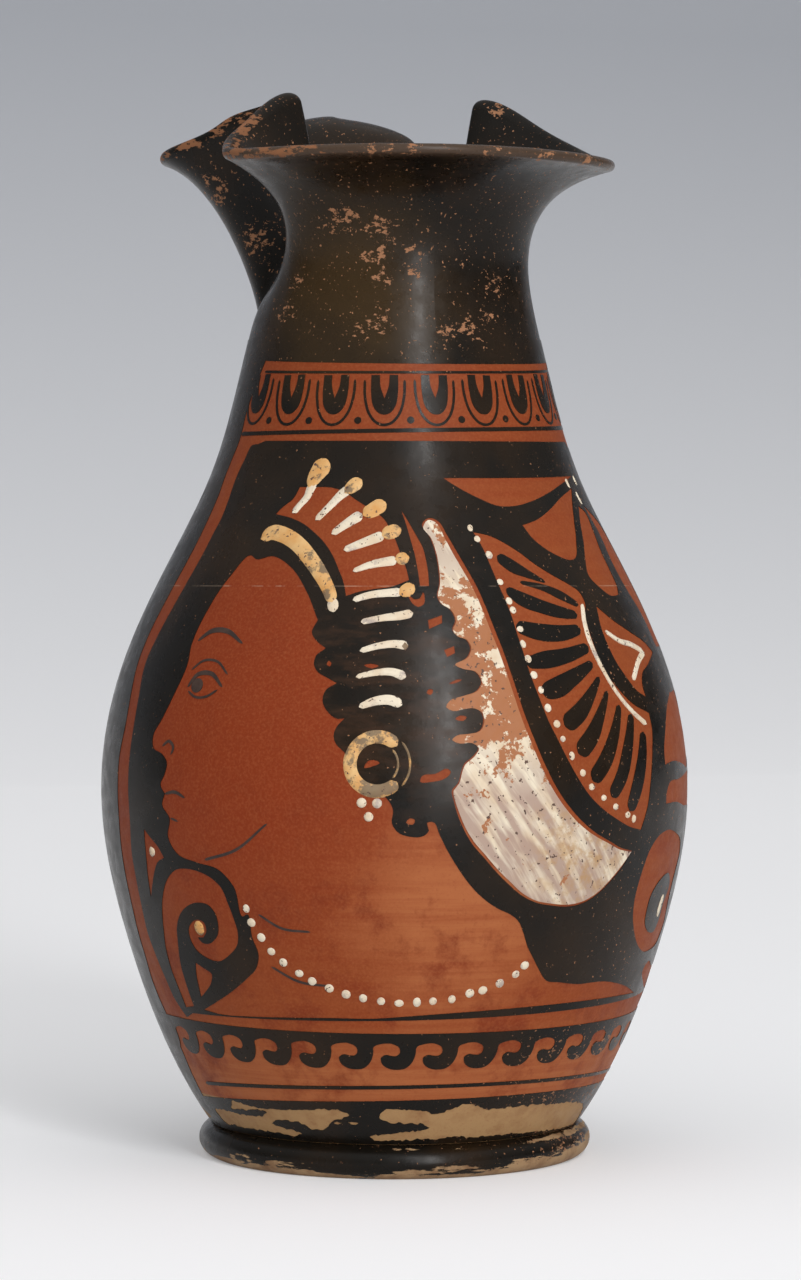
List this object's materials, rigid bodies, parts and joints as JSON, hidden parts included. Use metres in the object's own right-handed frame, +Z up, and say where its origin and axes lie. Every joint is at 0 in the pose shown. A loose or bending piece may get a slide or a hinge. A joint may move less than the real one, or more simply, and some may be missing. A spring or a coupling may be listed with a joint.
{
  "type": "oinochoe jug",
  "caption": "Trefoil-mouthed pouring jug in red-figure painted pottery: ring foot, full belly running in one curve into a broad neck, pinched three-lobed lip and a strap handle",
  "frame": {"origin": "on the wheel axis, at the centre of the flat underside of the ring foot", "axes": "+Z up along the wheel axis, -Y out of the spout, +Y towards the handle, +X to the right seen from the spout"},
  "size_m": [0.1286, 0.1429, 0.2333],
  "materials": {
    "red_clay": "burnished orange-red fired clay, reserved, satin",
    "black_gloss": "black gloss slip with olive-brown thin places and small chips",
    "white_slip": "added cream-white slip, matt and worn",
    "yellow_slip": "added yellow over white slip, matt"
  },
  "bodies": {
    "root": {"foot_ring": "black_gloss", "lower_body": "red_clay", "upper_body": "red_clay", "trefoil_mouth": "black_gloss", "strap_handle": "black_gloss"}
  },
  "joints": []
}
